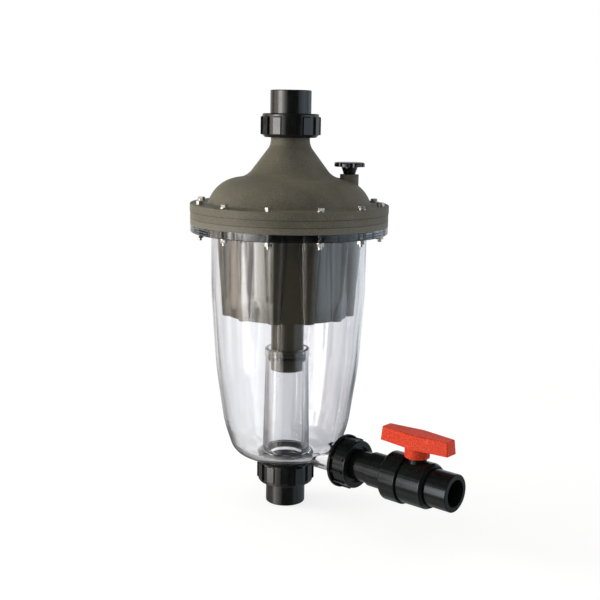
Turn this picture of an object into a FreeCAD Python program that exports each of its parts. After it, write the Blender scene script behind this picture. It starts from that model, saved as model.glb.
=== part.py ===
import FreeCAD, Part
import math
import os
import Sketcher

from FreeCAD import Placement, Rotation, Vector

# Multi-cyclone centrifugal filter for irrigation and process water, in millimetres.
# The origin is the centre of the bottom inlet socket's mouth. +Z runs up the vessel's axis
# and +X along the side drain.

SIZES = {
    # Unions for 50 mm pipe, the same parts at the inlet and the outlet
    "tail_radius": 31.5,
    "tail_length": 46.5,
    "tail_collar_radius": 36,
    "tail_collar": 6,
    "pipe_radius": 25.1,
    "pipe_depth": 31,
    "flow_radius": 21,
    "union_nut_length": 36,
    "union_nut_radius": 43.5,
    "union_nut_wall": 5.5,
    "union_thread_radius": 38,
    "union_thread_length": 21.5,
    "union_pad_width": 12,
    "union_pad_height": 2.5,
    "grip_count": 12,
    "grip_margin": 4.5,
    "nut_lip": 4,
    # Union for the 40 mm drain
    "drain_height": 96,
    "drain_reach": 40.5,
    "drain_tail_radius": 23.5,
    "drain_tail_length": 36.9,
    "drain_collar_radius": 31,
    "drain_collar": 5,
    "drain_spigot": 20,
    "drain_nut_length": 30.7,
    "drain_nut_radius": 36.8,
    "drain_nut_wall": 4.5,
    "drain_nut_hole": 28,
    "drain_thread_radius": 33.3,
    "drain_thread_length": 16.5,
    "drain_rib_width": 3.4,
    "drain_rib_height": 2.2,
    "drain_rim_radius": 41,
    "drain_rim": 5,
    "drain_pipe_radius": 20.1,
    "drain_flow_radius": 17,
    "drain_neck_radius": 22.5,
    # Flange stack
    "flange_radius": 154,
    "plate_inset": 0.6,
    "lid_flange": 12,
    "vortex_plate": 10.5,
    "cyclone_plate": 9.5,
    "bowl_flange": 11.7,
    "bolt_edge": 12,
    "bolt_count": 12,
    "bolt_radius": 3,
    "bolt_hole_radius": 3.3,
    "bolt_spare": 4,
    "bolt_head": 4,
    "bolt_hex": 10,
    "bolt_nut": 5,
    "washer_radius": 6.25,
    "washer": 1.6,
    "seal_inset": 12,
    "seal_width": 4.4,
    "seal_height": 3.2,
    # Bowl
    "bowl_height": 405.5,
    "bowl_wall": 5.5,
    "flange_reach": 33,
    "bowl_shoulder_height": 345,
    "bowl_mid_taper": 8,
    "bowl_mid_height": 225,
    "bowl_low_taper": 21,
    "bowl_low_height": 135,
    "bowl_foot_taper": 37,
    "bowl_foot_height": 86,
    "bowl_sump_height": 76,
    "bowl_top_rounding": 400,
    "bowl_mid_rounding": 500,
    "bowl_low_rounding": 120,
    "bowl_foot_rounding": 30,
    "riser_top": 255,
    "riser_rim": 12,
    "riser_rim_radius": 35.5,
    "riser_bore": 30.5,
    "riser_wall": 3.8,
    "riser_foot_radius": 37.6,
    # Lid
    "lid_height": 137.5,
    "lid_wall": 6.5,
    "neck_radius": 30,
    "neck_bore": 22,
    "neck_drop": 36.2,
    "knee_inset": 87.5,
    "knee_rise": 41,
    "shoulder_inset": 40.5,
    "shoulder_rise": 34.6,
    "dome_foot_inset": 27.5,
    "dome_rounding": 54,
    "knee_rounding": 30,
    "bell_rounding": 25,
    # Bleed valve
    "bleed_inset": 62,
    "bleed_turn": 42.8,
    "bleed_boss_radius": 14.5,
    "bleed_boss_rise": 46,
    "bleed_bore": 6.3,
    "bleed_spindle_radius": 6,
    "bleed_vent": 2,
    "bleed_seal_length": 3,
    "knob_radius": 23.5,
    "knob_disc": 6.5,
    "knob_hub_radius": 12.2,
    "knob_foot_radius": 9.1,
    "knob_hub": 11,
    "knob_lobes": 8,
    # Cyclones
    "cyclone_inset": 25.5,
    "cyclone_count": 12,
    "cyclone_head_radius": 16.5,
    "cyclone_tip_radius": 9.5,
    "cyclone_wall": 2.8,
    "cyclone_head": 32,
    "cyclone_length": 139.5,
    "web_wall": 3.4,
    "chamber_inset": 18.5,
    "chamber_depth": 24,
    "inlet_slot_width": 6,
    "inlet_slot_height": 18,
    "finder_radius": 7,
    "finder_bore": 4.8,
    "finder_length": 44,
    # Inlet tube
    "inlet_tube_radius": 26,
    "inlet_tube_bore": 22.5,
    "inlet_tube_end": 220,
    "inlet_tube_collar": 16.7,
    # Drain valve
    "valve_length": 145.5,
    "inlet_collar_radius": 26,
    "socket_radius": 27.8,
    "socket_depth": 26,
    "shell_radius": 37,
    "shell_start": 32,
    "shoulder_length": 3,
    "shell_end": 63.5,
    "barrel_start": 65,
    "barrel_end": 108.7,
    "barrel_radius": 34,
    "groove_depth": 2,
    "rim_bevel": 5,
    "rim_radius": 31,
    "rim_recess": 1.5,
    "skirt_radius": 29.5,
    "skirt_length": 24,
    "ball_place": 78.1,
    "ball_radius": 25,
    "ball_clearance": 1.2,
    "seat_radius": 23.5,
    "seat_length": 9,
    "plug_radius": 27,
    "stem_radius": 7,
    "stem_flange_radius": 9,
    "stem_square": 9,
    "stem_boss_radius": 14.5,
    "stem_boss_rise": 3.1,
    "handle_gap": 2,
    "handle_hub_radius": 18.5,
    "handle_hub": 15,
    "handle_bar_height": 21,
    "handle_length": 117,
    "handle_end_width": 23,
    "handle_wall": 3,
    "handle_waist": 19,
    "handle_edge": 2,
    # Fits
    "fit": 0.3,
    "running_fit": 0.05,
    "seal_section": 3.5,
    "seal_squeeze": 2.8,
}

doc = FreeCAD.newDocument("centrifugal_filter")
sheet = doc.addObject("Spreadsheet::Sheet", "Sizes")
for row, (name, value) in enumerate(SIZES.items(), start=1):
    sheet.set(f"A{row}", name)
    sheet.set(f"B{row}", str(value))
    sheet.setAlias(f"B{row}", name)
doc.recompute()


def text_of(number):
    return number.text if isinstance(number, Length) else repr(float(number))


class Length(float):
    """A number that remembers how it is worked out from the sheet's cells."""

    def __new__(cls, value, text):
        made = super().__new__(cls, value)
        made.text = text
        return made

    def __add__(self, other):
        return Length(float(self) + float(other), f"({self.text} + {text_of(other)})")

    def __radd__(self, other):
        return Length(float(other) + float(self), f"({text_of(other)} + {self.text})")

    def __sub__(self, other):
        return Length(float(self) - float(other), f"({self.text} - {text_of(other)})")

    def __rsub__(self, other):
        return Length(float(other) - float(self), f"({text_of(other)} - {self.text})")

    def __mul__(self, other):
        return Length(float(self) * float(other), f"({self.text} * {text_of(other)})")

    __rmul__ = __mul__

    def __truediv__(self, other):
        return Length(float(self) / float(other), f"({self.text} / {text_of(other)})")


class Sizes:
    """The sheet's cells by name."""

    def __getattr__(self, name):
        return Length(float(sheet.get(name)), f"Sizes.{name}")


size = Sizes()


def cosine(angle):
    return Length(math.cos(math.radians(angle)), f"cos({angle.text})")


def sine(angle):
    return Length(math.sin(math.radians(angle)), f"sin({angle.text})")


# Levels up the vessel
low_face = size.tail_length
bowl_top = low_face + size.bowl_height
vortex_bottom = bowl_top + size.cyclone_plate
lid_bottom = vortex_bottom + size.vortex_plate
lid_flange_top = lid_bottom + size.lid_flange
high_face = lid_bottom + size.lid_height
outlet_mouth = high_face + size.tail_length

# Radii from the flange's edge inwards, so that the whole vessel follows its flange
plate_radius = size.flange_radius - size.plate_inset
bolt_circle = size.flange_radius - size.bolt_edge
seal_radius = bolt_circle - size.seal_inset
bowl_top_radius = size.flange_radius - size.flange_reach
bowl_mid_radius = bowl_top_radius - size.bowl_mid_taper
bowl_low_radius = bowl_top_radius - size.bowl_low_taper
bowl_foot_radius = bowl_top_radius - size.bowl_foot_taper
drain_face = bowl_low_radius + size.drain_reach
cyclone_circle = bowl_top_radius - size.cyclone_inset
chamber_radius = cyclone_circle - size.chamber_inset
dome_foot_radius = size.flange_radius - size.dome_foot_inset
shoulder_radius = size.flange_radius - size.shoulder_inset
knee_radius = size.flange_radius - size.knee_inset
bleed_radius = size.flange_radius - size.bleed_inset


def tie(thing, path, number):
    """Binds one property of an object to the sheet, where its number comes from there."""
    if isinstance(number, Length):
        thing.setExpression(path, number.text)


def new_body(label):
    body = doc.addObject("PartDesign::Body", label)
    body.Label = label
    body.AllowCompound = True
    return body


def origin_part(body, role):
    return next(part for part in body.Origin.OriginFeatures if part.Role == role)


def place(body, at, turn=Rotation()):
    body.Placement = Placement(Vector(*at), turn)
    for axis, number in zip("xyz", at):
        tie(body, f"Placement.Base.{axis}", number)


def rounding(before, corner, after, radius):
    """The arc that rounds a corner: its first and last point, its centre and its side."""
    into = (corner - before).normalize()
    out = (after - corner).normalize()
    setback = radius * math.tan(into.getAngle(out) / 2)
    first = corner - into * setback
    last = corner + out * setback
    left = into.x * out.y - into.y * out.x > 0
    across = Vector(-into.y, into.x, 0) if left else Vector(into.y, -into.x, 0)
    return first, last, first + across * radius, left


def draw(body, corners, plane="XZ_Plane", height=0.0):
    """A closed outline through corners (across, up), rounded where a radius is given."""
    sketch = body.newObject("Sketcher::SketchObject", "outline")
    sketch.AttachmentSupport = [(origin_part(body, plane), "")]
    sketch.MapMode = "FlatFace"
    sketch.AttachmentOffset = Placement(Vector(0, 0, height), Rotation())
    tie(sketch, "AttachmentOffset.Base.z", height)
    points = [Vector(corner[0], corner[1], 0) for corner in corners]
    count = len(points)
    ends = []
    for i, corner in enumerate(corners):
        if len(corner) == 3:
            ends.append(rounding(points[i - 1], points[i], points[(i + 1) % count], corner[2]))
        else:
            ends.append((points[i], points[i], None, False))
    for i in range(count):
        sketch.addGeometry(Part.LineSegment(ends[i][1], ends[(i + 1) % count][0]))

    def hold(geometry, vertex, across, up):
        """Pins a point at its distances from the sketch's origin."""
        for kind, axis, number in (("DistanceX", -2, across), ("DistanceY", -1, up)):
            if float(number) == 0:
                sketch.addConstraint(Sketcher.Constraint("PointOnObject", geometry, vertex, axis))
                continue
            pin = Sketcher.Constraint(kind, -1, 1, geometry, vertex, float(number))
            index = sketch.addConstraint(pin)
            tie(sketch, f"Constraints[{index}]", number)

    for i, corner in enumerate(corners):
        before = (i - 1) % count
        if len(corner) == 2:
            sketch.addConstraint(Sketcher.Constraint("Coincident", before, 2, i, 1))
            hold(i, 1, corner[0], corner[1])
            continue
        first, last, centre, left = ends[i]
        start, stop = (first, last) if left else (last, first)
        circle = Part.Circle(centre, Vector(0, 0, 1), float(corner[2]))
        arc = sketch.addGeometry(
            Part.ArcOfCircle(circle, circle.parameter(start), circle.parameter(stop))
        )
        mark = sketch.addGeometry(Part.Point(points[i]), True)
        hold(mark, 1, corner[0], corner[1])
        sketch.addConstraint(Sketcher.Constraint("PointOnObject", mark, 1, before))
        sketch.addConstraint(Sketcher.Constraint("PointOnObject", mark, 1, i))
        sketch.addConstraint(Sketcher.Constraint("Tangent", before, 2, arc, 1 if left else 2))
        sketch.addConstraint(Sketcher.Constraint("Tangent", i, 1, arc, 2 if left else 1))
        index = sketch.addConstraint(Sketcher.Constraint("Radius", arc, float(corner[2])))
        tie(sketch, f"Constraints[{index}]", corner[2])
    return sketch


def turn_solid(body, corners, kind="Revolution"):
    """Turns an outline (radius, height) about the body's own Z axis."""
    sketch = draw(body, corners)
    feature = body.newObject("PartDesign::" + kind, "turned")
    feature.Profile = sketch
    feature.ReferenceAxis = (sketch, ["V_Axis"])
    feature.Angle = 360
    return feature


def shape(body, kind, at, turn=Rotation(), **measures):
    """A PartDesign box, cylinder, cone or sphere at a place in the body."""
    feature = body.newObject("PartDesign::" + kind, kind)
    for name, number in measures.items():
        setattr(feature, name, float(number))
        tie(feature, name, number)
    feature.Placement = Placement(Vector(*at), turn)
    for axis, number in zip("xyz", at):
        tie(feature, f"Placement.Base.{axis}", number)
    return feature


def around(body, features, count):
    """Repeats features evenly about the body's Z axis."""
    pattern = body.newObject("PartDesign::PolarPattern", "ring")
    pattern.Originals = features
    pattern.Axis = (origin_part(body, "Z_Axis"), [""])
    pattern.Angle = 360
    pattern.Occurrences = round(count)
    tie(pattern, "Occurrences", count)
    body.Tip = pattern
    return pattern


UP_TO_X = Rotation(Vector(0, 1, 0), 90)
UPSIDE_DOWN = Rotation(Vector(1, 0, 0), 180)


def o_ring(label, radius, width, height, base, at=(0, 0, 0), turn=Rotation()):
    """A squeezed O-ring: flat where it seals, with free sides that bulge."""
    body = new_body(label)
    middle = base + height / 2
    turn_solid(
        body,
        [
            (radius - width / 4, base),
            (radius + width / 4, base),
            (radius + width / 2, middle),
            (radius + width / 4, base + height),
            (radius - width / 4, base + height),
            (radius - width / 2, middle),
        ],
    )
    place(body, at, turn)


def groove_corners(radius, width, top, depth):
    """The corners of a face groove, from its outer lip inwards."""
    return [
        (radius + width / 2, top),
        (radius + width / 2, top - depth),
        (radius - width / 2, top - depth),
        (radius - width / 2, top),
    ]


def bolt_holes(body, base, length):
    hole = shape(
        body,
        "SubtractiveCylinder",
        (bolt_circle, 0, base),
        Radius=size.bolt_hole_radius,
        Height=length,
    )
    around(body, [hole], size.bolt_count)


# Unions. A tail's own Z runs from its sealing face out to its free end, and a nut's own Z
# from its outer end face to its threaded mouth.

union_seal_radius = (size.flow_radius + size.tail_collar_radius) / 2
drain_seal_radius = (size.drain_flow_radius + size.drain_collar_radius) / 2 + size.fit * 5
seal_width = size.seal_section + size.fit


def face_groove(radius):
    """A groove's corners in a sealing face at height zero, from the inside out."""
    return [
        (radius - seal_width / 2, 0),
        (radius - seal_width / 2, size.seal_squeeze),
        (radius + seal_width / 2, size.seal_squeeze),
        (radius + seal_width / 2, 0),
    ]


def pipe_tail(label, at, turn):
    body = new_body(label)
    stop = size.tail_length - size.pipe_depth
    turn_solid(
        body,
        [
            (size.flow_radius, 0),
            *face_groove(union_seal_radius),
            (size.tail_collar_radius, 0),
            (size.tail_collar_radius, size.tail_collar),
            (size.tail_radius, size.tail_collar),
            (size.tail_radius, size.tail_length, 1.5),
            (size.pipe_radius, size.tail_length),
            (size.pipe_radius, stop),
            (size.flow_radius, stop),
        ],
    )
    place(body, at, turn)


def union_nut(
    label, at, turn, hole, radius, length, wall, thread, mouth, grip_width, grip_height
):
    """A nut with grips; mouth holds the corners of its outside at the threaded end."""
    body = new_body(label)
    turn_solid(
        body,
        [
            (hole, 0),
            (radius, 0, 2.5),
            *mouth,
            (thread, length),
            (thread, wall),
            (hole, wall),
        ],
    )
    top = radius + grip_height
    grip = body.newObject("PartDesign::Pad", "grip")
    grip.Profile = draw(
        body,
        [
            (radius - 1, size.grip_margin),
            (top, size.grip_margin, grip_height * 0.9),
            (top, length - size.nut_lip, grip_height * 0.5),
            (radius - 1, length - size.nut_lip),
        ],
    )
    grip.Length = float(grip_width)
    tie(grip, "Length", grip_width)
    grip.SideType = "Symmetric"
    around(body, [grip], size.grip_count)
    place(body, at, turn)


def pipe_union(label, face, out, nut_turn, tail_turn, grip_turn):
    """The tail, nut and seal at one end of the vessel; out is -1 at the bottom, 1 at the top.

    grip_turn is how far round the nut stands once it is tight."""
    pipe_tail(label + "_tail", (0, 0, face), tail_turn)
    union_nut(
        label + "_nut",
        (0, 0, face + (size.tail_collar + size.union_nut_wall + size.running_fit) * out),
        Rotation(Vector(0, 0, 1), grip_turn) * nut_turn,
        size.tail_radius + size.fit * 2,
        size.union_nut_radius,
        size.union_nut_length,
        size.union_nut_wall,
        size.union_thread_radius + size.fit,
        [
            (size.union_nut_radius, size.union_nut_length - size.nut_lip, 3),
            (size.union_thread_radius + size.fit + 1.5, size.union_nut_length, 1),
        ],
        size.union_pad_width,
        size.union_pad_height,
    )
    o_ring(
        label + "_o_ring",
        union_seal_radius,
        size.seal_section,
        size.seal_squeeze,
        0.0,
        (0, 0, face),
        tail_turn,
    )


def drain_union():
    tail = new_body("drain_tail")
    spigot_end = size.drain_tail_length + size.socket_depth
    turn_solid(
        tail,
        [
            (size.drain_flow_radius, 0),
            *face_groove(drain_seal_radius),
            (size.drain_collar_radius, 0),
            (size.drain_collar_radius, size.drain_collar),
            (size.drain_tail_radius, size.drain_collar),
            (size.drain_tail_radius, size.drain_tail_length, 1),
            (size.drain_spigot, size.drain_tail_length),
            (size.drain_spigot, spigot_end),
            (size.drain_flow_radius, spigot_end),
        ],
    )
    place(tail, (drain_face, 0, size.drain_height), UP_TO_X)
    nut_face = drain_face + size.drain_collar + size.drain_nut_wall + size.running_fit
    rim_start = size.drain_nut_length - size.drain_rim
    union_nut(
        "drain_nut",
        (nut_face, 0, size.drain_height),
        Rotation(Vector(1, 0, 0), 8) * Rotation(Vector(0, 1, 0), -90),
        size.drain_nut_hole,
        size.drain_nut_radius,
        size.drain_nut_length,
        size.drain_nut_wall,
        size.drain_thread_radius + size.fit,
        [
            (size.drain_nut_radius, rim_start),
            (size.drain_rim_radius, rim_start, 1),
            (size.drain_rim_radius, size.drain_nut_length, 1.5),
        ],
        size.drain_rib_width,
        size.drain_rib_height,
    )
    o_ring(
        "drain_o_ring",
        drain_seal_radius,
        size.seal_section,
        size.seal_squeeze,
        0.0,
        (drain_face, 0, size.drain_height),
        UP_TO_X,
    )


# Vessel


def bowl():
    """The clear bowl: one moulding with the flange, riser, bottom boss and side spout."""
    body = new_body("bowl")
    flange_foot = bowl_top - size.bowl_flange
    wall = size.bowl_wall
    turn_solid(
        body,
        [
            (0, low_face),
            (size.union_thread_radius, low_face, 1),
            (size.union_thread_radius, size.bowl_sump_height, 5),
            (bowl_foot_radius, size.bowl_foot_height, size.bowl_foot_rounding),
            (bowl_low_radius, size.bowl_low_height, size.bowl_low_rounding),
            (bowl_mid_radius, size.bowl_mid_height, size.bowl_mid_rounding),
            (bowl_top_radius, size.bowl_shoulder_height, size.bowl_top_rounding),
            (bowl_top_radius, flange_foot, 4),
            (plate_radius, flange_foot, 1.5),
            (plate_radius, bowl_top),
            *groove_corners(seal_radius, size.seal_width, bowl_top, size.seal_height),
            (0, bowl_top),
        ],
    )
    neck = drain_face - size.drain_thread_length
    root = size.riser_foot_radius + 2
    shape(
        body,
        "AdditiveCone",
        (root, 0, size.drain_height),
        UP_TO_X,
        Radius1=size.drain_neck_radius + 1,
        Radius2=size.drain_neck_radius,
        Height=neck - root,
    )
    shape(
        body,
        "AdditiveCylinder",
        (neck, 0, size.drain_height),
        UP_TO_X,
        Radius=size.drain_thread_radius,
        Height=size.drain_thread_length,
    )
    rim_foot = size.riser_top - size.riser_rim
    turn_solid(
        body,
        [
            (0, size.riser_top),
            (size.riser_rim_radius, size.riser_top, 1),
            (size.riser_rim_radius, rim_foot),
            (size.riser_bore + size.riser_wall, rim_foot),
            (size.riser_foot_radius, size.bowl_sump_height + wall * 1.2, 8),
            (bowl_foot_radius - wall * 0.8, size.bowl_foot_height + wall, size.bowl_foot_rounding - wall),
            (bowl_low_radius - wall, size.bowl_low_height, size.bowl_low_rounding - wall),
            (bowl_mid_radius - wall, size.bowl_mid_height, size.bowl_mid_rounding - wall),
            (bowl_top_radius - wall, size.bowl_shoulder_height, size.bowl_top_rounding - wall),
            (bowl_top_radius - wall, bowl_top + 1),
            (0, bowl_top + 1),
        ],
        "Groove",
    )
    turn_solid(
        body,
        [
            (0, low_face - 1),
            (size.flow_radius, low_face - 1),
            (size.flow_radius, low_face + 8),
            (size.riser_bore, size.bowl_sump_height, 20),
            (size.riser_bore, size.riser_top + 1),
            (0, size.riser_top + 1),
        ],
        "Groove",
    )
    spout_start = size.riser_foot_radius + wall * 2
    shape(
        body,
        "SubtractiveCylinder",
        (spout_start, 0, size.drain_height),
        UP_TO_X,
        Radius=size.drain_flow_radius,
        Height=drain_face - spout_start + 1,
    )
    bolt_holes(body, flange_foot - 1, size.bowl_flange + 2)


def cyclone_pack():
    """The lower plate with the inlet chamber below it and twelve cyclones in one skirt."""
    body = new_body("cyclone_pack")
    floor_top = vortex_bottom - size.cyclone_plate - size.chamber_depth
    floor_bottom = floor_top - size.web_wall
    hole = size.inlet_tube_radius + size.running_fit * 2
    outer = chamber_radius + size.web_wall
    turn_solid(
        body,
        [
            (hole, floor_bottom),
            (outer, floor_bottom, 4),
            (outer, bowl_top),
            (plate_radius, bowl_top),
            (plate_radius, vortex_bottom),
            *groove_corners(seal_radius, size.seal_width, vortex_bottom, size.seal_height),
            (chamber_radius, vortex_bottom),
            (chamber_radius, floor_top, 8),
            (hole, floor_top),
        ],
    )
    skirt_end = bowl_top - size.cyclone_length
    turn_solid(
        body,
        [
            (cyclone_circle - size.web_wall / 2, skirt_end),
            (cyclone_circle + size.web_wall / 2, skirt_end),
            (cyclone_circle + size.web_wall / 2, bowl_top + 1),
            (cyclone_circle - size.web_wall / 2, bowl_top + 1),
        ],
    )
    head_foot = bowl_top - size.cyclone_head
    cone_length = size.cyclone_length - size.cyclone_head
    head = shape(
        body,
        "AdditiveCylinder",
        (cyclone_circle, 0, head_foot),
        Radius=size.cyclone_head_radius,
        Height=size.cyclone_head + 1,
    )
    cone = shape(
        body,
        "AdditiveCone",
        (cyclone_circle, 0, skirt_end),
        Radius1=size.cyclone_tip_radius,
        Radius2=size.cyclone_head_radius,
        Height=cone_length,
    )
    around(body, [head, cone], size.cyclone_count)
    bore = shape(
        body,
        "SubtractiveCylinder",
        (cyclone_circle, 0, head_foot),
        Radius=size.cyclone_head_radius - size.cyclone_wall,
        Height=size.cyclone_head + size.cyclone_plate + 1,
    )
    cone_bore = shape(
        body,
        "SubtractiveCone",
        (cyclone_circle, 0, skirt_end),
        Radius1=size.cyclone_tip_radius - size.cyclone_wall,
        Radius2=size.cyclone_head_radius - size.cyclone_wall,
        Height=cone_length,
    )
    slot = shape(
        body,
        "SubtractiveBox",
        (
            chamber_radius - 2,
            size.cyclone_head_radius - size.cyclone_wall - size.inlet_slot_width,
            bowl_top - size.inlet_slot_height,
        ),
        Length=cyclone_circle - chamber_radius + 2,
        Width=size.inlet_slot_width,
        Height=size.inlet_slot_height,
    )
    around(body, [bore, cone_bore, slot], size.cyclone_count)
    bolt_holes(body, bowl_top - 1, size.cyclone_plate + 2)


def inlet_tube():
    """The centre tube. Its collar carries the seal in the riser, its flange hangs in the pack."""
    floor_top = vortex_bottom - size.cyclone_plate - size.chamber_depth
    collar_start = size.inlet_tube_end + size.inlet_tube_collar
    collar_radius = size.riser_bore - size.fit
    seal_start = collar_start + size.seal_height
    seal_end = seal_start + size.seal_width
    body = new_body("inlet_tube")
    turn_solid(
        body,
        [
            (size.inlet_tube_bore, size.inlet_tube_end),
            (size.inlet_tube_radius, size.inlet_tube_end, 1),
            (size.inlet_tube_radius, collar_start),
            (collar_radius, collar_start),
            (collar_radius, seal_start),
            (size.inlet_tube_radius, seal_start),
            (size.inlet_tube_radius, seal_end),
            (collar_radius, seal_end),
            (collar_radius, seal_end + size.seal_height),
            (size.inlet_tube_radius, seal_end + size.seal_height),
            (size.inlet_tube_radius, floor_top),
            (size.inlet_tube_radius + size.web_wall, floor_top),
            (size.inlet_tube_radius + size.web_wall, floor_top + size.web_wall),
            (size.inlet_tube_bore, floor_top + size.web_wall),
        ],
    )
    seal_gap = size.riser_bore - size.inlet_tube_radius
    o_ring(
        "riser_o_ring",
        size.inlet_tube_radius + seal_gap / 2,
        seal_gap - size.running_fit * 2,
        size.seal_width - size.fit,
        seal_start + size.fit / 2,
    )


def vortex_plate():
    """The middle plate. Its tubes reach down into the cyclones and let clean water up."""
    body = new_body("vortex_plate")
    turn_solid(
        body,
        [
            (0, vortex_bottom),
            (plate_radius, vortex_bottom),
            (plate_radius, lid_bottom),
            *groove_corners(seal_radius, size.seal_width, lid_bottom, size.seal_height),
            (0, lid_bottom),
        ],
    )
    tube_end = vortex_bottom - size.finder_length
    tube = shape(
        body,
        "AdditiveCylinder",
        (cyclone_circle, 0, tube_end),
        Radius=size.finder_radius,
        Height=size.finder_length + 1,
    )
    around(body, [tube], size.cyclone_count)
    bore = shape(
        body,
        "SubtractiveCylinder",
        (cyclone_circle, 0, tube_end - 1),
        Radius=size.finder_bore,
        Height=size.finder_length + size.vortex_plate + 2,
    )
    around(body, [bore], size.cyclone_count)
    bolt_holes(body, vortex_bottom - 1, size.vortex_plate + 2)


bleed_across = bleed_radius * cosine(size.bleed_turn)
bleed_along = bleed_radius * sine(size.bleed_turn)
bleed_boss_top = lid_flange_top + size.bleed_boss_rise
bleed_seat = bleed_boss_top - size.bleed_boss_radius * 1.7


def lid():
    """The lid: flange, domed shoulder, bell neck with the outlet thread, and bleed boss."""
    wall = size.lid_wall
    knee = lid_flange_top + size.knee_rise
    shoulder = lid_flange_top + size.shoulder_rise
    bell = high_face - size.neck_drop
    thread_foot = high_face - size.union_thread_length + 2
    body = new_body("lid")
    turn_solid(
        body,
        [
            (0, lid_bottom),
            (size.flange_radius, lid_bottom),
            (size.flange_radius, lid_flange_top, 1.2),
            (dome_foot_radius, lid_flange_top, 3),
            (shoulder_radius, shoulder, size.dome_rounding),
            (knee_radius, knee, size.knee_rounding),
            (size.neck_radius, bell, size.bell_rounding),
            (size.neck_radius, thread_foot),
            (size.union_thread_radius, thread_foot + 1),
            (size.union_thread_radius, high_face, 1),
            (0, high_face),
        ],
    )
    shape(
        body,
        "AdditiveCylinder",
        (bleed_across, bleed_along, bleed_seat),
        Radius=size.bleed_boss_radius,
        Height=bleed_boss_top - bleed_seat,
    )
    turn_solid(
        body,
        [
            (0, lid_bottom - 1),
            (dome_foot_radius - wall, lid_bottom - 1),
            (dome_foot_radius - wall, lid_flange_top),
            (shoulder_radius - wall * 0.75, shoulder - wall * 0.9, size.dome_rounding - wall),
            (knee_radius - wall * 0.55, knee - wall, size.knee_rounding + wall * 0.6),
            (size.neck_bore, bell - wall * 0.7, size.bell_rounding + wall * 0.8),
            (size.neck_bore, high_face + 1),
            (0, high_face + 1),
        ],
        "Groove",
    )
    shape(
        body,
        "AdditiveCylinder",
        (bleed_across, bleed_along, bleed_seat - wall),
        Radius=size.bleed_boss_radius * 0.75,
        Height=bleed_boss_top - bleed_seat,
    )
    shape(
        body,
        "SubtractiveCylinder",
        (bleed_across, bleed_along, bleed_seat),
        Radius=size.bleed_bore,
        Height=bleed_boss_top - bleed_seat + 1,
    )
    shape(
        body,
        "SubtractiveCylinder",
        (bleed_across, bleed_along, bleed_seat - wall - 1),
        Radius=size.bleed_vent,
        Height=wall + 2,
    )
    bolt_holes(body, lid_bottom - 1, size.lid_flange + 2)


def bleed_valve():
    """The bleed screw: a seal on the spindle's tip, the spindle and its hand knob."""
    tip_radius = size.bleed_bore - size.fit
    seal = new_body("bleed_seal")
    shape(seal, "AdditiveCylinder", (0, 0, 0), Radius=tip_radius, Height=size.bleed_seal_length)
    place(seal, (bleed_across, bleed_along, bleed_seat))
    spindle_foot = bleed_seat + size.bleed_seal_length
    knob_foot = bleed_boss_top + size.fit * 3
    grip = size.knob_hub + size.knob_disc / 2
    spindle = new_body("bleed_spindle")
    spindle_length = knob_foot - spindle_foot + grip
    shape(
        spindle,
        "AdditiveCylinder",
        (0, 0, 0),
        Radius=size.bleed_spindle_radius,
        Height=spindle_length,
    )
    place(spindle, (bleed_across, bleed_along, spindle_foot))
    knob = new_body("bleed_knob")
    top = size.knob_hub + size.knob_disc
    turn_solid(
        knob,
        [
            (0, 0),
            (size.knob_foot_radius, 0),
            (size.knob_hub_radius, size.knob_hub - 2),
            (size.knob_hub_radius, size.knob_hub),
            (size.knob_radius, size.knob_hub),
            (size.knob_radius, top, 2.4),
            (0, top),
        ],
    )
    scallop_radius = size.knob_radius * 0.3
    scallop = shape(
        knob,
        "SubtractiveCylinder",
        (size.knob_radius + scallop_radius * 0.72, 0, -1),
        Radius=scallop_radius,
        Height=top + 2,
    )
    around(knob, [scallop], size.knob_lobes)
    shape(
        knob,
        "SubtractiveCylinder",
        (0, 0, -1),
        Radius=size.bleed_spindle_radius + size.running_fit,
        Height=grip + 1,
    )
    place(knob, (bleed_across, bleed_along, knob_foot))


def flange_seals():
    for label, face in (
        ("bowl_o_ring", bowl_top),
        ("chamber_o_ring", vortex_bottom),
        ("lid_o_ring", lid_bottom),
    ):
        o_ring(
            label,
            seal_radius,
            size.seal_width - size.fit,
            size.seal_height,
            face - size.seal_height,
        )


def fasteners():
    """Twelve bolts with a washer under each head and each nut, in a ring."""
    flange_foot = bowl_top - size.bowl_flange
    nut_face = flange_foot - size.washer - size.bolt_nut
    head_face = lid_flange_top + size.washer
    corner_radius = size.bolt_hex / math.sqrt(3)
    centre = bolt_circle
    bolts = new_body("flange_bolts")
    head = shape(
        bolts,
        "AdditivePrism",
        (centre, 0, head_face),
        Circumradius=corner_radius,
        Height=size.bolt_head,
    )
    shank = shape(
        bolts,
        "AdditiveCylinder",
        (centre, 0, nut_face - size.bolt_spare),
        Radius=size.bolt_radius,
        Height=head_face - nut_face + size.bolt_spare,
    )
    around(bolts, [head, shank], size.bolt_count)
    nuts = new_body("flange_nuts")
    nut = shape(
        nuts,
        "AdditivePrism",
        (centre, 0, nut_face),
        Circumradius=corner_radius,
        Height=size.bolt_nut,
    )
    thread = shape(
        nuts,
        "SubtractiveCylinder",
        (centre, 0, nut_face - 1),
        Radius=size.bolt_radius + size.running_fit,
        Height=size.bolt_nut + 2,
    )
    around(nuts, [nut, thread], size.bolt_count)
    for label, base in (("bolt_washers", lid_flange_top), ("nut_washers", flange_foot - size.washer)):
        washers = new_body(label)
        disc = shape(
            washers,
            "AdditiveCylinder",
            (centre, 0, base),
            Radius=size.washer_radius,
            Height=size.washer,
        )
        hole = shape(
            washers,
            "SubtractiveCylinder",
            (centre, 0, base - 1),
            Radius=size.bolt_hole_radius,
            Height=size.washer + 2,
        )
        around(washers, [disc, hole], size.bolt_count)


# Drain valve. Its pieces' own Z runs along the pipe from the valve's inlet face.

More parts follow.
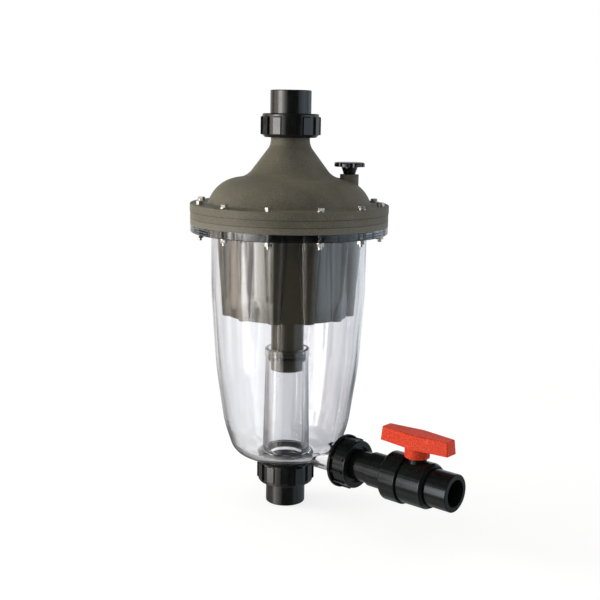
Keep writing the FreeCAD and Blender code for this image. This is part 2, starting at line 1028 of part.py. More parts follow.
valve_face = drain_face + size.drain_tail_length
valve_at = (valve_face, 0, size.drain_height)
seat_back = size.ball_radius - 1
seat_front = seat_back - size.seat_length
seat_pocket = size.seat_radius + size.running_fit * 2
pocket_start = size.ball_place - seat_back
pocket_end = size.ball_place + seat_back
cavity_radius = size.ball_radius + size.ball_clearance
groove_floor = size.barrel_radius - size.groove_depth
skirt_start = size.barrel_start - size.skirt_length
boss_top = size.barrel_radius + size.stem_boss_rise


def valve_inlet_end():
    body = new_body("valve_inlet_end")
    turn_solid(
        body,
        [
            (size.drain_pipe_radius, 0),
            (size.inlet_collar_radius, 0, 0.6),
            (size.inlet_collar_radius, size.shell_start, 2),
            (size.shell_radius, size.shell_start + size.shoulder_length, 2),
            (size.shell_radius, size.shell_end, 1.5),
            (size.skirt_radius + size.running_fit * 2, size.shell_end),
            (size.skirt_radius + size.running_fit * 2, skirt_start),
            (size.drain_flow_radius, skirt_start),
            (size.drain_flow_radius, size.socket_depth),
            (size.drain_pipe_radius, size.socket_depth),
        ],
    )
    place(body, valve_at, UP_TO_X)


def valve_body():
    body = new_body("valve_body")
    seal_place = skirt_start + size.skirt_length / 4
    turn_solid(
        body,
        [
            (size.drain_flow_radius, skirt_start),
            (size.skirt_radius, skirt_start),
            (size.skirt_radius, seal_place),
            (size.skirt_radius - size.seal_squeeze, seal_place),
            (size.skirt_radius - size.seal_squeeze, seal_place + seal_width),
            (size.skirt_radius, seal_place + seal_width),
            (size.skirt_radius, size.shell_end),
            (groove_floor, size.shell_end),
            (groove_floor, size.barrel_start),
            (size.barrel_radius, size.barrel_start, 0.8),
            (size.barrel_radius, size.barrel_end - size.rim_bevel, 4),
            (size.rim_radius, size.barrel_end, 0.4),
            (size.rim_radius - 1, size.barrel_end),
            (size.rim_radius - 1, size.barrel_end - size.rim_recess),
            (size.plug_radius, size.barrel_end - size.rim_recess),
            (size.plug_radius, size.ball_place + seat_front),
            (cavity_radius, size.ball_place + seat_front),
            (cavity_radius, size.ball_place - seat_front),
            (seat_pocket, size.ball_place - seat_front),
            (seat_pocket, pocket_start),
            (size.drain_flow_radius, pocket_start),
        ],
    )
    up = Rotation(Vector(0, 1, 0), -90)
    shape(
        body,
        "AdditiveCylinder",
        (size.plug_radius * -1 - 1, 0, size.ball_place),
        up,
        Radius=size.stem_boss_radius,
        Height=boss_top - size.plug_radius - 1,
    )
    shape(
        body,
        "SubtractiveCylinder",
        (size.drain_flow_radius * -1, 0, size.ball_place),
        up,
        Radius=size.stem_flange_radius + size.running_fit * 2,
        Height=cavity_radius + 2 - size.drain_flow_radius,
    )
    shape(
        body,
        "SubtractiveCylinder",
        (size.drain_flow_radius * -1, 0, size.ball_place),
        up,
        Radius=size.stem_radius + size.running_fit,
        Height=boss_top - size.drain_flow_radius + 1,
    )
    place(body, valve_at, UP_TO_X)
    o_ring(
        "inlet_end_o_ring",
        size.skirt_radius - size.seal_squeeze / 2,
        size.seal_squeeze - size.running_fit * 2,
        size.seal_section,
        seal_place + size.fit / 2,
        valve_at,
        UP_TO_X,
    )


def valve_outlet_end():
    body = new_body("valve_outlet_end")
    plug = size.plug_radius - size.running_fit * 2
    stop = size.valve_length - size.socket_depth
    seal_start = pocket_end + 0.6
    seal_end = seal_start + size.seal_section + size.running_fit * 2
    turn_solid(
        body,
        [
            (size.drain_flow_radius, pocket_end),
            (seat_pocket, pocket_end),
            (seat_pocket, size.ball_place + seat_front),
            (plug, size.ball_place + seat_front),
            (plug, seal_start),
            (plug - size.seal_squeeze, seal_start),
            (plug - size.seal_squeeze, seal_end),
            (plug, seal_end),
            (plug, size.barrel_end - size.rim_recess),
            (size.socket_radius, size.barrel_end - size.rim_recess),
            (size.socket_radius, size.valve_length, 1.5),
            (size.drain_pipe_radius, size.valve_length),
            (size.drain_pipe_radius, stop),
            (size.drain_flow_radius, stop),
        ],
    )
    place(body, valve_at, UP_TO_X)
    o_ring(
        "outlet_end_o_ring",
        plug - size.seal_squeeze / 2 + size.running_fit,
        size.seal_squeeze - size.running_fit,
        size.seal_section,
        seal_start + size.running_fit,
        valve_at,
        UP_TO_X,
    )


def seats():
    for label, base in (
        ("inlet_seat", pocket_start),
        ("outlet_seat", size.ball_place + seat_front),
    ):
        body = new_body(label)
        turn_solid(
            body,
            [
                (size.drain_flow_radius, base),
                (size.seat_radius, base),
                (size.seat_radius, base + size.seat_length),
                (size.drain_flow_radius, base + size.seat_length),
            ],
        )
        shape(
            body,
            "SubtractiveSphere",
            (0, 0, size.ball_place),
            Radius=size.ball_radius + size.running_fit,
        )
        place(body, valve_at, UP_TO_X)


ball_at = (valve_face + size.ball_place, 0, size.drain_height)
tang_foot = size.ball_radius - 4
flange_foot = size.ball_radius + size.fit
flange_top = cavity_radius + 2 - size.running_fit


def ball_and_stem():
    ball = new_body("ball")
    shape(ball, "AdditiveSphere", (0, 0, 0), Radius=size.ball_radius)
    shape(
        ball,
        "SubtractiveCylinder",
        (size.ball_radius * -1, 0, 0),
        UP_TO_X,
        Radius=size.drain_flow_radius,
        Height=size.ball_radius * 2,
    )
    tang = size.stem_square - 2
    tang_width = size.stem_flange_radius * 1.6
    slot = tang + size.running_fit * 2
    slot_length = tang_width + size.running_fit * 2
    shape(
        ball,
        "SubtractiveBox",
        (slot / -2, slot_length / -2, tang_foot - size.running_fit),
        Length=slot,
        Width=slot_length,
        Height=size.ball_radius,
    )
    place(ball, ball_at)
    stem = new_body("stem")
    seal_foot = flange_top + 1.5
    seal_depth = size.stem_radius - size.seal_squeeze / 2
    seal_top = seal_foot + size.seal_section
    turn_solid(
        stem,
        [
            (0, flange_foot),
            (size.stem_flange_radius, flange_foot),
            (size.stem_flange_radius, flange_top),
            (size.stem_radius, flange_top),
            (size.stem_radius, seal_foot),
            (seal_depth, seal_foot),
            (seal_depth, seal_top),
            (size.stem_radius, seal_top),
            (size.stem_radius, boss_top),
            (0, boss_top),
        ],
    )
    shape(
        stem,
        "AdditiveBox",
        (tang / -2, tang_width / -2, tang_foot),
        Length=tang,
        Width=tang_width,
        Height=flange_foot - tang_foot + 1,
    )
    shape(
        stem,
        "AdditiveBox",
        (size.stem_square / -2, size.stem_square / -2, boss_top - 1),
        Length=size.stem_square,
        Width=size.stem_square,
        Height=size.handle_gap + size.handle_hub * 0.75 + 1,
    )
    place(stem, ball_at)
    o_ring(
        "stem_o_ring",
        size.stem_radius - size.seal_squeeze / 4,
        size.seal_squeeze / 2,
        size.seal_section - size.running_fit * 2,
        seal_foot + size.running_fit,
        ball_at,
    )


def handle():
    """The T handle: a round hub on the stem and a long bar, widest over the hub."""
    body = new_body("handle")
    shape(
        body,
        "AdditiveCylinder",
        (0, 0, 0),
        Radius=size.handle_hub_radius,
        Height=size.handle_hub + 1,
    )
    half = size.handle_length / 2
    tip = size.handle_end_width / 2
    bar = body.newObject("PartDesign::Pad", "bar")
    bar.Profile = draw(
        body,
        [
            (half, tip * -1),
            (half, tip),
            (0, size.handle_waist),
            (half * -1, tip),
            (half * -1, tip * -1),
            (0, size.handle_waist * -1),
        ],
        "XY_Plane",
        size.handle_hub,
    )
    bar.Length = float(size.handle_bar_height)
    tie(bar, "Length", size.handle_bar_height)
    bar.TaperAngle = -5
    doc.recompute()
    upright = []
    for number, edge in enumerate(bar.Shape.Edges, start=1):
        box = edge.BoundBox
        if box.ZMax > float(size.handle_hub + size.handle_bar_height) - 0.1:
            upright.append(f"Edge{number}")
    soft = body.newObject("PartDesign::Fillet", "soft_edges")
    soft.Base = (bar, upright)
    soft.Radius = float(size.handle_edge)
    tie(soft, "Radius", size.handle_edge)
    wall = size.handle_wall
    inner_tip = tip - wall
    core_start = size.handle_hub_radius
    pocket = body.newObject("PartDesign::Pocket", "core")
    pocket.Profile = draw(
        body,
        [
            (core_start, size.handle_hub_radius * -0.8 + wall),
            (half - wall, inner_tip * -1),
            (half - wall, inner_tip),
            (core_start, size.handle_hub_radius * 0.8 - wall),
        ],
        "XY_Plane",
        size.handle_hub,
    )
    pocket.Length = float(size.handle_bar_height - wall)
    tie(pocket, "Length", size.handle_bar_height - wall)
    pocket.Reversed = True
    pocket.TaperAngle = -5
    two = body.newObject("PartDesign::PolarPattern", "both_wings")
    two.Originals = [pocket]
    two.Axis = (origin_part(body, "Z_Axis"), [""])
    two.Angle = 360
    two.Occurrences = 2
    body.Tip = two
    square = size.stem_square + size.running_fit * 2
    shape(
        body,
        "SubtractiveBox",
        (square / -2, square / -2, -1),
        Length=square,
        Width=square,
        Height=size.handle_hub * 0.75 + size.running_fit + 1,
    )
    at = (valve_face + size.ball_place, 0, size.drain_height + boss_top + size.handle_gap)
    place(body, at)


pipe_union("outlet", high_face, 1, UPSIDE_DOWN, Rotation(), 14.8)
pipe_union("inlet", low_face, -1, Rotation(), UPSIDE_DOWN, 9.8)
drain_union()
bowl()
cyclone_pack()
inlet_tube()
vortex_plate()
lid()
bleed_valve()
flange_seals()
fasteners()
valve_inlet_end()
valve_body()
valve_outlet_end()
seats()
ball_and_stem()
handle()

doc.recompute()
failed = [thing.Name for thing in doc.Objects if {"Invalid", "Error"} & set(thing.State)]
if failed:
    raise RuntimeError(f"these objects failed: {failed}")

pieces = [thing for thing in doc.Objects if thing.TypeId == "PartDesign::Body"]
for piece in pieces:
    if piece.Shape.isNull() or not piece.Shape.isValid() or not piece.Shape.Solids:
        raise RuntimeError(f"{piece.Label} has no sound solid")

os.makedirs("parts", exist_ok=True)
for piece in pieces:
    piece.Shape.exportStep(f"parts/{piece.Label}.step")
    print(piece.Label, len(piece.Shape.Solids), round(piece.Shape.Volume))
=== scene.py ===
"""Looks of a centrifugal water filter: matt olive-grey lid and cyclone pack in a clear bowl, black pipe
unions and a black drain valve with a red handle.

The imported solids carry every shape. This script gives them their finishes and sets up a pale studio, with
the camera where the photograph was taken from.
Lengths are in metres, Z is up and the bowl's axis is the Z axis."""

import math

import bmesh
import bpy
from mathutils import Matrix, Vector


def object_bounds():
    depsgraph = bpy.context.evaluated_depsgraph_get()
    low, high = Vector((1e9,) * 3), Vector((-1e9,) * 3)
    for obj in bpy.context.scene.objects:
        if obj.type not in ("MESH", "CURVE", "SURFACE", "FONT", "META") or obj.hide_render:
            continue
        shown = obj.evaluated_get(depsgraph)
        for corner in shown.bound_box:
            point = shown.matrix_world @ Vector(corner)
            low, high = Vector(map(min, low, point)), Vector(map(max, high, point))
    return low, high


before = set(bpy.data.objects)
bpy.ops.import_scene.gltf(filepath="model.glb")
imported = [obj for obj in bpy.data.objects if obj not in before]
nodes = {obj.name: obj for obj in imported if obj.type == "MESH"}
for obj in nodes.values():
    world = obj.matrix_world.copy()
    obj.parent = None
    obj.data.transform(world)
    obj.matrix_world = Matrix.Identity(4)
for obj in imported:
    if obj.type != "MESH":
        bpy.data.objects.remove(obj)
solids_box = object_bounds()
MM = 0.001


def top_of(name):
    """The height of a piece's top."""
    piece = nodes[name]
    corners = [piece.matrix_world @ Vector(corner) for corner in piece.bound_box]
    return max(corner.z for corner in corners)


# How thick two of the flange's four layers are, and the heights where their finishes begin and end
PLATE_RIM = 10.5 * MM
BOWL_RIM = 11.7 * MM
PLATE_TOP = top_of("vortex_plate")
PLATE_FOOT = PLATE_TOP - PLATE_RIM
BOWL_TOP = top_of("bowl")
BOWL_RIM_FOOT = BOWL_TOP - BOWL_RIM
RIM_FADE = 1.0 * MM

# The cyclone pack is matt down to the first height, and from the second it is polished and painted darker as
# shade.
MATT_FOOT = BOWL_TOP - 1.0 * MM
POLISH_TOP = BOWL_TOP - 3.0 * MM

# The painted shadow line where two layers meet: its core, its soft edge, and how much light its core keeps
SEAM_CORE = 0.35 * MM
SEAM_EDGE = 0.85 * MM
SEAM_LIGHT = 0.45


def linear(code):
    """An sRGB hex colour as linear red, green and blue, with an alpha of 1."""
    shares = [int(code[start : start + 2], 16) / 255 for start in (1, 3, 5)]
    return [s / 12.92 if s <= 0.04045 else ((s + 0.055) / 1.055) ** 2.4 for s in shares] + [1.0]


# Nodes


def add(tree, kind, inputs=None, **settings):
    """Adds a node to a tree, with its settings and with a value or a link for each named input."""
    made = tree.nodes.new(kind)
    for name, value in settings.items():
        setattr(made, name, value)
    for name, value in (inputs or {}).items():
        if isinstance(value, bpy.types.NodeSocket):
            tree.links.new(value, made.inputs[name])
        else:
            made.inputs[name].default_value = value
    return made


def blank(name):
    """A new material with nothing in it but its output, with its tree and that output."""
    material = bpy.data.materials.new(name)
    material.use_nodes = True
    material.node_tree.nodes.clear()
    return material, material.node_tree, add(material.node_tree, "ShaderNodeOutputMaterial")


def own_place(tree):
    """The place on the piece itself, in metres."""
    return add(tree, "ShaderNodeTexCoord").outputs["Object"]


def height_of(tree, place):
    """The height of a place, or how steeply a direction points up."""
    return add(tree, "ShaderNodeSeparateXYZ", {"Vector": place}).outputs["Z"]


def grain_per(width):
    """The texture scale at which one grain of a noise is this many millimetres wide."""
    return 1 / (width * MM)


def noise(tree, place, scale, detail=2.0, roughness=0.5):
    """An even noise from 0 to 1."""
    inputs = {"Vector": place, "Scale": scale, "Detail": detail, "Roughness": roughness}
    return add(tree, "ShaderNodeTexNoise", inputs).outputs["Fac"]


def bump(tree, height, strength, depth):
    """The normal of a surface with this height, which at full strength is this many millimetres deep."""
    inputs = {"Height": height, "Strength": strength, "Distance": depth * MM}
    return add(tree, "ShaderNodeBump", inputs).outputs["Normal"]


def calculate(tree, operation, *values):
    """The result of one step of arithmetic."""
    return add(tree, "ShaderNodeMath", dict(enumerate(values)), operation=operation).outputs[0]


def spread(tree, value, low, high, to_low=0.0, to_high=1.0, **settings):
    """A value taken from one range to another and held at its ends."""
    inputs = {"Value": value, "From Min": low, "From Max": high, "To Min": to_low, "To Max": to_high}
    return add(tree, "ShaderNodeMapRange", inputs, **settings).outputs["Result"]


def ramp(tree, factor, *stops):
    """Colours or greys at places from 0 to 1 along a factor."""
    made = add(tree, "ShaderNodeValToRGB", {"Fac": factor})
    points = made.color_ramp.elements
    for index, (place, shade) in enumerate(stops):
        point = points[index] if index < 2 else points.new(place)
        point.position = place
        point.color = linear(shade) if isinstance(shade, str) else [shade, shade, shade, 1.0]
    return made.outputs["Color"]


def mix_colours(tree, way, one, other, share=1.0):
    """Two colours mixed in one of the mix node's ways, which has them at 6 and 7 and gives the mix at 2."""
    inputs = {"Factor": share, 6: one, 7: other}
    return add(tree, "ShaderNodeMix", inputs, data_type="RGBA", blend_type=way).outputs[2]


def mix_shaders(tree, share, one, other):
    """The first shader where the share is 0, the second where it is 1."""
    return add(tree, "ShaderNodeMixShader", {0: share, 1: one, 2: other}).outputs["Shader"]


def coat(tree, output, inputs):
    """Gives a material one principled surface with these inputs."""
    body = add(tree, "ShaderNodeBsdfPrincipled", inputs)
    tree.links.new(body.outputs["BSDF"], output.inputs["Surface"])


# Finishes


def painted_seam_shadow(tree, height, shade):
    """A colour darkened in the thin lines above and below the vortex plate's rim: painted shadow in the
    seams.
    """
    for seam in (PLATE_TOP, PLATE_FOOT):
        off_seam = calculate(tree, "ABSOLUTE", calculate(tree, "SUBTRACT", height, seam))
        light = spread(tree, off_seam, SEAM_CORE, SEAM_EDGE, SEAM_LIGHT, 1.0)
        shade = mix_colours(tree, "MULTIPLY", shade, light)
    return shade


def grey_speckle(tree, place):
    """The grey plastic's grain and its colour. The real grain is 0.3 mm, and is drawn at 1.8 mm to show."""
    grain = noise(tree, place, grain_per(1.8), 3.0, 0.7)
    return grain, ramp(tree, grain, (0.32, "#59554a"), (0.68, "#7b7768"))


def matt_grey_plastic():
    """Glass-filled polypropylene, injection moulded in a grained tool: olive grey, matt, finely speckled.

    The eye gets soft shading with no clear highlight, a salt and pepper speckle and slow flow marks."""
    material, tree, output = blank("moulded_glass_filled_polypropylene")
    place = own_place(tree)
    grain, shade = grey_speckle(tree, place)
    clouds = noise(tree, place, grain_per(45), 3.0, 0.6)
    flow = ramp(tree, clouds, (0.3, "#dcdcd6"), (0.7, "#fffdf8"))
    colour = mix_colours(tree, "MULTIPLY", shade, flow)
    inputs = {
        # Painted shadow in the seams above and below the vortex plate's rim
        "Base Color": painted_seam_shadow(tree, height_of(tree, place), colour),
        "Roughness": ramp(tree, clouds, (0.3, 0.52), (0.7, 0.64)),
        "IOR": 1.49,
        "Specular IOR Level": 0.45,
        "Normal": bump(tree, grain, 0.35, 0.25),
    }
    coat(tree, output, inputs)
    return material


def pack_grey_plastic():
    """The same grey polypropylene in the cyclone pack: matt on the flange's edge, polished inside the bowl,
    where its darker colour is painted shade.

    The eye gets long bright and dark streaks down the polished folds."""
    material, tree, output = blank("moulded_polypropylene_polished_skirt")
    place = own_place(tree)
    height = height_of(tree, place)
    inside = spread(tree, height, MATT_FOOT, POLISH_TOP)
    grain, edge_shade = grey_speckle(tree, place)
    # Painted shade: the same plastic is coloured darker where it hangs inside the bowl
    skirt_painted_shade = ramp(tree, grain, (0.3, "#4b463a"), (0.7, "#5b5546"))
    colour = mix_colours(tree, "MIX", edge_shade, skirt_painted_shade, inside)
    inputs = {
        # Painted shadow in the seams above and below the vortex plate's rim
        "Base Color": painted_seam_shadow(tree, height, colour),
        "Roughness": spread(tree, inside, 0.0, 1.0, 0.55, 0.16),
        "IOR": 1.49,
        "Normal": bump(tree, grain, 0.08, 0.25),
    }
    coat(tree, output, inputs)
    return material


def black_pipe_plastic(name, smoothest, roughest, gloss, tint):
    """Unplasticised PVC, injection moulded for pipe fittings: black with a faint blue, semi-gloss.

    The eye gets soft bluish-grey bands on a near black body, broken by slight unevenness of the gloss."""
    material, tree, output = blank(name)
    place = own_place(tree)
    sink = noise(tree, place, grain_per(14), 4.0, 0.6)
    pits = noise(tree, place, grain_per(1.6))
    inputs = {
        "Base Color": ramp(tree, sink, (0.35, "#101110"), (0.65, "#181a1a")),
        "Roughness": ramp(tree, sink, (0.35, smoothest), (0.65, roughest)),
        "IOR": 1.53,
        "Specular IOR Level": gloss,
        "Specular Tint": linear(tint),
        "Normal": bump(tree, pits, 0.12, 0.15),
    }
    coat(tree, output, inputs)
    return material


def clear_bowl_plastic():
    """Styrene acrylonitrile, injection moulded and polished: clear, with a cool grey tint in thick places.

    The eye gets dark outlines where it looks along the wall, slightly wavy reflections, and a rim darkened
    by painted shade."""
    material, tree, output = blank("moulded_clear_styrene_acrylonitrile")
    place = own_place(tree)
    # Flow lines run down the wall: about 18 mm across and ten times as long.
    stretched = add(tree, "ShaderNodeMapping", {"Vector": place, "Scale": (1.0, 1.0, 0.1)}).outputs["Vector"]
    flow = noise(tree, stretched, grain_per(18), 2.0, 0.4)
    # The rim is a thick block, and looks much darker than the wall. Its darker colour here is painted shade.
    rim = spread(tree, height_of(tree, place), BOWL_RIM_FOOT - RIM_FADE, BOWL_RIM_FOOT + RIM_FADE)
    inputs = {
        "Base Color": ramp(tree, rim, (0.0, "#fcfcfd"), (1.0, "#949da2")),
        "Roughness": 0.02,
        "IOR": 1.52,
        "Transmission Weight": 1.0,
        "Normal": bump(tree, flow, 0.25, 0.4),
    }
    body = add(tree, "ShaderNodeBsdfPrincipled", inputs).outputs["BSDF"]
    # Lamps shine through, as they do through the real bowl, so that the pack inside is lit.
    through = add(tree, "ShaderNodeBsdfTransparent", {"Color": linear("#f2f4f4")}).outputs["BSDF"]
    lamp_ray = add(tree, "ShaderNodeLightPath").outputs["Is Shadow Ray"]
    tree.links.new(mix_shaders(tree, lamp_ray, body, through), output.inputs["Surface"])
    tint = add(tree, "ShaderNodeVolumeAbsorption", {"Color": linear("#b6b8bc"), "Density": 8.0})
    tree.links.new(tint.outputs["Volume"], output.inputs["Volume"])
    return material


def red_handle_plastic():
    """Acrylonitrile butadiene styrene, injection moulded with a spark-eroded grain: orange red, satin.

    The eye gets a warm red with a soft sheen and a fine stipple whose palest points are a painted sheen,
    pale whatever the light."""
    material, tree, output = blank("moulded_red_abs")
    # The eroded grain is about 0.5 mm and is drawn at 1.7 mm.
    stipple = noise(tree, own_place(tree), grain_per(1.7), 2.0, 0.8)
    inputs = {
        # Painted sheen: the palest stop colours the stipple's raised points pale all over
        "Base Color": ramp(tree, stipple, (0.35, "#c41f04"), (0.56, "#e83c08"), (0.7, "#f4714a")),
        "Roughness": 0.45,
        "IOR": 1.54,
        "Specular IOR Level": 0.3,
        "Normal": bump(tree, stipple, 0.5, 0.3),
    }
    coat(tree, output, inputs)
    return material


def stainless_fastener_steel():
    """A2 stainless steel, cold headed and rolled: bright grey with faint tool marks.

    The eye gets small sharp glints with darker smears between them."""
    material, tree, output = blank("rolled_stainless_steel")
    marks = noise(tree, own_place(tree), grain_per(2.5), 4.0, 0.7)
    inputs = {
        "Base Color": ramp(tree, marks, (0.3, "#a39f98"), (0.7, "#d6d3cd")),
        "Roughness": ramp(tree, marks, (0.3, 0.18), (0.7, 0.38)),
        "Metallic": 1.0,
    }
    coat(tree, output, inputs)
    return material


def seal_rubber():
    """Ethylene propylene rubber, compression moulded: black and dull.

    The eye gets a soft dark line with a faint bloom."""
    material, tree, output = blank("moulded_ethylene_propylene_rubber")
    bloom = noise(tree, own_place(tree), grain_per(5), 3.0)
    shade = ramp(tree, bloom, (0.35, "#141414"), (0.65, "#232322"))
    coat(tree, output, {"Base Color": shade, "Roughness": 0.6, "IOR": 1.5})
    return material


def seat_fluoropolymer():
    """Polytetrafluoroethylene, turned: milky white and waxy.

    The eye gets a pale ring with a faint mottle round the ball."""
    material, tree, output = blank("turned_polytetrafluoroethylene")
    mottle = noise(tree, own_place(tree), grain_per(1.5))
    shade = ramp(tree, mottle, (0.3, "#dcdad2"), (0.7, "#ecebe6"))
    coat(tree, output, {"Base Color": shade, "Roughness": 0.42, "IOR": 1.35})
    return material


GREY = matt_grey_plastic()
PACK_GREY = pack_grey_plastic()
UNION_BLACK = black_pipe_plastic(
    "moulded_black_pvc_union", smoothest=0.16, roughest=0.24, gloss=0.5, tint="#ffffff"
)
VALVE_BLACK = black_pipe_plastic(
    "moulded_black_pvc_valve", smoothest=0.1, roughest=0.15, gloss=0.26, tint="#dfedf6"
)
CLEAR = clear_bowl_plastic()
RED = red_handle_plastic()
STEEL = stainless_fastener_steel()
RUBBER = seal_rubber()
SEAT = seat_fluoropolymer()

FINISHES = {
    "lid": GREY,
    "vortex_plate": GREY,
    "cyclone_pack": PACK_GREY,
    "inlet_tube": PACK_GREY,
    "bowl": CLEAR,
    "riser_o_ring": RUBBER,
    "bowl_o_ring": RUBBER,
    "chamber_o_ring": RUBBER,
    "lid_o_ring": RUBBER,
    "flange_bolts": STEEL,
    "bolt_washers": STEEL,
    "nut_washers": STEEL,
    "flange_nuts": STEEL,
    "outlet_tail": UNION_BLACK,
    "outlet_nut": UNION_BLACK,
    "outlet_o_ring": RUBBER,
    "inlet_tail": UNION_BLACK,
    "inlet_nut": UNION_BLACK,
    "inlet_o_ring": RUBBER,
    "drain_tail": VALVE_BLACK,
    "drain_nut": VALVE_BLACK,
    "drain_o_ring": RUBBER,
    "valve_inlet_end": VALVE_BLACK,
    "valve_body": VALVE_BLACK,
    "valve_outlet_end": VALVE_BLACK,
    "ball": VALVE_BLACK,
    "inlet_seat": SEAT,
    "outlet_seat": SEAT,
    "inlet_end_o_ring": RUBBER,
    "outlet_end_o_ring": RUBBER,
    "stem": VALVE_BLACK,
    "stem_o_ring": RUBBER,
    "handle": RED,
    "bleed_knob": UNION_BLACK,
    "bleed_spindle": UNION_BLACK,
    "bleed_seal": RUBBER,
}
for name, finish in FINISHES.items():
    nodes[name].data.materials.clear()
    nodes[name].data.materials.append(finish)


# Camera, fitted to the photograph's flange, unions and drain

VIEW_TURN = math.radians(41.8)
CAMERA_PLACE = Vector((1.0344, -1.1570, 0.617))
CAMERA_PITCH = math.radians(10.42)
CAMERA_YAW = math.radians(0.70)
CAMERA_ROLL = math.radians(0.98)
# The sensor is in millimetres. The focal length was fitted in pixels of a picture this many pixels wide.
SENSOR = 36
PICTURE_WIDTH = 600
FOCAL_LENGTH = 998.67
NEAREST = 0.05
FARTHEST = 50


def place_camera():
    """The camera at the photograph's place, looking down at the bowl, with the photograph's slight tilt."""
    ahead = Vector(
        (
            math.sin(CAMERA_YAW) * math.cos(CAMERA_PITCH),
            math.cos(CAMERA_YAW) * math.cos(CAMERA_PITCH),
            -math.sin(CAMERA_PITCH),
        )
    )
    ahead = Matrix.Rotation(VIEW_TURN, 3, "Z") @ ahead
    beside = ahead.cross(Vector((0, 0, 1))).normalized()
    above = beside.cross(ahead)
    right = beside * math.cos(CAMERA_ROLL) + above * math.sin(CAMERA_ROLL)
    up = right.cross(ahead)
    data = bpy.data.cameras.new("camera")
    data.sensor_width = SENSOR
    data.lens = SENSOR * FOCAL_LENGTH / PICTURE_WIDTH
    data.clip_start = NEAREST
    data.clip_end = FARTHEST
    camera = bpy.data.objects.new("camera", data)
    turn = Matrix((right, up, -ahead)).transposed().to_4x4()
    camera.matrix_world = Matrix.Translation(CAMERA_PLACE) @ turn
    bpy.context.scene.collection.objects.link(camera)
    bpy.context.scene.camera = camera


# Studio

WHITE = linear("#ffffff")
FILTER_MIDDLE = Vector((0, 0, 0.32))
FILL_LIGHT = 0.46
ROOM_LIGHT = 9.5

# Both go round the room by shares of a turn: 0 and 1 towards the camera, 0.25 left, 0.5 behind, 0.75 right.
# What clear plastic shows straight through it: brownish where the backdrop bends away, greyer on the right
BACKDROP = (
    (0.0, "#e0e0e2"),
    (0.33, "#d8d6d6"),
    (0.38, "#a5988f"),
    (0.43, "#cbc1b9"),
    (0.47, "#fafbfd"),
    (0.503, "#fafbfd"),
    (0.508, "#d9dadf"),
    (0.54, "#cbccd1"),
    (0.6, "#a3a09c"),
    (0.68, "#8f8d8b"),
    (0.74, "#e0e0e2"),
)
# What gloss shows: nothing in front, a tall garden window at 0.15 to 0.2, dim walls behind and on the right
ROOM = (
    (0.060, "#000000"),
    (0.066, "#7c7a76"),
    (0.1, "#807e79"),
    (0.13, "#c6c3bf"),
    (0.15, "#fbf8f5"),
    (0.2, "#fbf8f5"),
    (0.206, "#8b837d"),
    (0.25, "#948b84"),
    (0.32, "#524f4c"),
    (0.5, "#525355"),
    (0.72, "#4f5458"),
    (0.76, "#5d656b"),
    (0.86, "#4d555a"),
    (0.89, "#000000"),
)
# By how steeply a direction points, 0 down and 1 up: the share of the room's light, and the floor's light
ROOM_REACH = ((0.3, 0.2), (0.38, 1.0), (0.66, 1.0), (0.76, 0.05))
FLOOR_GLOW = ((0.16, 0.03), (0.3, 0.004))

# The floor's shadow shows up to the first distance from the bowl's axis and is gone at the second. The lift
# is the light of its own that the floor has there, so that the shadow stays pale.
SHADOW_REACH = 0.45
SHADOW_END = 1.3
SHADOW_LIFT = 0.78
FLOOR_RADIUS = 9.0
FLOOR_GAP = 0.5 * MM


def studio_direction(turn):
    """The level direction this many degrees round from the camera's side, positive to the camera's right."""
    return Matrix.Rotation(VIEW_TURN + math.radians(turn), 3, "Z") @ Vector((0, -1, 0))


def soft_lamp(name, turn, distance, height, size, power, colour):
    """A soft rectangular lamp that faces the filter's middle and isn't seen in gloss or clear plastic."""
    data = bpy.data.lights.new(name, "AREA")
    data.shape = "RECTANGLE"
    data.size, data.size_y = size
    data.energy = power
    data.color = linear(colour)[:3]
    lamp = bpy.data.objects.new(name, data)
    place = studio_direction(turn) * distance + Vector((0, 0, height))
    lamp.location = place
    lamp.rotation_euler = (FILTER_MIDDLE - place).to_track_quat("-Z", "Y").to_euler()
    lamp.visible_glossy = False
    lamp.visible_transmission = False
    bpy.context.scene.collection.objects.link(lamp)


def onward_ray(tree):
    """The direction in which the light path leaves the filter, as seen from the camera's side."""
    back = add(tree, "ShaderNodeNewGeometry").outputs["Incoming"]
    inputs = {"Vector": back, "Rotation": (0.0, 0.0, -VIEW_TURN), "Scale": (-1, -1, -1)}
    return add(tree, "ShaderNodeMapping", inputs).outputs["Vector"]


def round_the_room(tree, ray):
    """How far round the room a direction points, as a share of a turn."""
    sides = add(tree, "ShaderNodeSeparateXYZ", {"Vector": ray})
    angle = calculate(tree, "ARCTAN2", sides.outputs["X"], sides.outputs["Y"])
    return spread(tree, angle, -math.pi, math.pi)


def window_light(tree):
    """The room that gloss shows, with leaves before the window."""
    ray = onward_ray(tree)
    glow = ramp(tree, round_the_room(tree, ray), *ROOM)
    leaves = ramp(tree, noise(tree, ray, 4.2, 3.0, 0.55), (0.4, 0.22), (0.48, 1.0))
    steepness = spread(tree, height_of(tree, ray), -1.0, 1.0)
    planted = mix_colours(tree, "MULTIPLY", glow, leaves)
    bounded = mix_colours(tree, "MULTIPLY", planted, ramp(tree, steepness, *ROOM_REACH))
    return mix_colours(tree, "ADD", bounded, ramp(tree, steepness, *FLOOR_GLOW))


def glowing(tree, kind, colour, strength):
    """A shader of one of the two kinds that give light: Emission on a surface, Background in the world."""
    return add(tree, kind, {"Color": colour, "Strength": strength}).outputs[0]


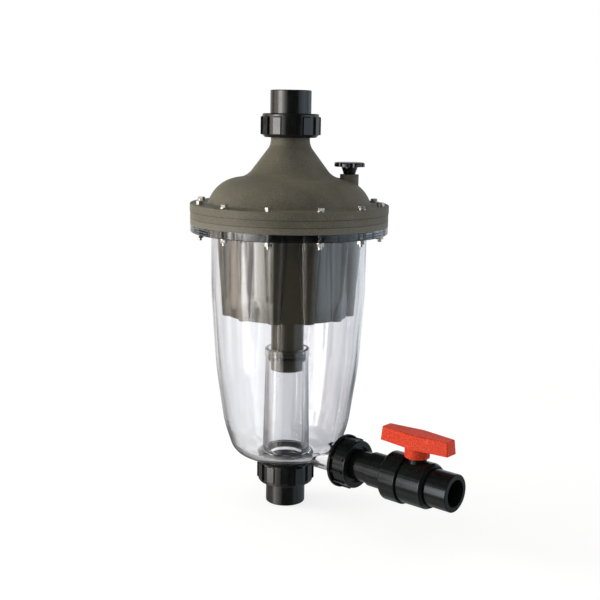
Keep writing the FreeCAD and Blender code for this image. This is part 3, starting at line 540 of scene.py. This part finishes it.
def seen_by_kind(tree, kind, plain, shown):
    """Lamplight meets the plain shader and the camera sees the shown one. Rays that gloss or clear plastic
    sends on meet the backdrop if they only went through the bowl, and the room after any reflection."""
    path = add(tree, "ShaderNodeLightPath").outputs
    seen = mix_shaders(tree, path["Is Camera Ray"], plain, shown)
    backdrop = ramp(tree, round_the_room(tree, onward_ray(tree)), *BACKDROP)
    through = glowing(tree, kind, backdrop, 1.0)
    room = glowing(tree, kind, window_light(tree), ROOM_LIGHT)
    beyond = mix_shaders(tree, path["Glossy Depth"], through, room)
    sent_on = calculate(tree, "MAXIMUM", path["Is Glossy Ray"], path["Is Transmission Ray"])
    return mix_shaders(tree, sent_on, seen, beyond)


def white_room():
    """A white background, which lights the object only as much as a plain room would."""
    world = bpy.data.worlds.new("white_room")
    world.use_nodes = True
    tree = world.node_tree
    tree.nodes.clear()
    fill = glowing(tree, "ShaderNodeBackground", WHITE, FILL_LIGHT)
    white = glowing(tree, "ShaderNodeBackground", WHITE, 1.0)
    output = add(tree, "ShaderNodeOutputWorld")
    tree.links.new(seen_by_kind(tree, "ShaderNodeBackground", fill, white), output.inputs["Surface"])
    bpy.context.scene.world = world


def pale_floor():
    """A pale floor that keeps the soft shadow near the filter and runs into the white background beyond."""
    material, tree, output = blank("pale_painted_floor")
    away = add(tree, "ShaderNodeVectorMath", {0: own_place(tree)}, operation="LENGTH").outputs["Value"]
    far = spread(tree, away, SHADOW_REACH, SHADOW_END, interpolation_type="SMOOTHSTEP")
    paint = add(tree, "ShaderNodeBsdfDiffuse", {"Color": linear("#e6e6e4")}).outputs["BSDF"]
    shaded = add(tree, "ShaderNodeBsdfDiffuse", {"Color": linear("#9a9a98")}).outputs["BSDF"]
    lift = glowing(tree, "ShaderNodeEmission", WHITE, SHADOW_LIFT)
    near = add(tree, "ShaderNodeAddShader", {0: shaded, 1: lift}).outputs["Shader"]
    shown = mix_shaders(tree, far, near, glowing(tree, "ShaderNodeEmission", WHITE, 1.0))
    tree.links.new(seen_by_kind(tree, "ShaderNodeEmission", paint, shown), output.inputs["Surface"])
    mesh = bpy.data.meshes.new("floor")
    shape = bmesh.new()
    bmesh.ops.create_circle(shape, cap_ends=True, segments=96, radius=FLOOR_RADIUS)
    shape.to_mesh(mesh)
    shape.free()
    mesh.materials.append(material)
    floor = bpy.data.objects.new("floor", mesh)
    floor.location.z = solids_box[0].z - FLOOR_GAP
    bpy.context.scene.collection.objects.link(floor)


place_camera()
white_room()
pale_floor()
soft_lamp(
    "left_window", turn=-95, distance=1.9, height=0.75, size=(1.1, 1.6), power=36, colour="#fdfdf8"
)
soft_lamp(
    "right_window", turn=85, distance=2.0, height=0.8, size=(1.0, 1.6), power=5, colour="#eef4ff"
)
soft_lamp(
    "ceiling_panel", turn=0, distance=0.15, height=2.2, size=(1.4, 1.4), power=4.5, colour="#ffffff"
)

bpy.context.scene.view_settings.view_transform = "Standard"
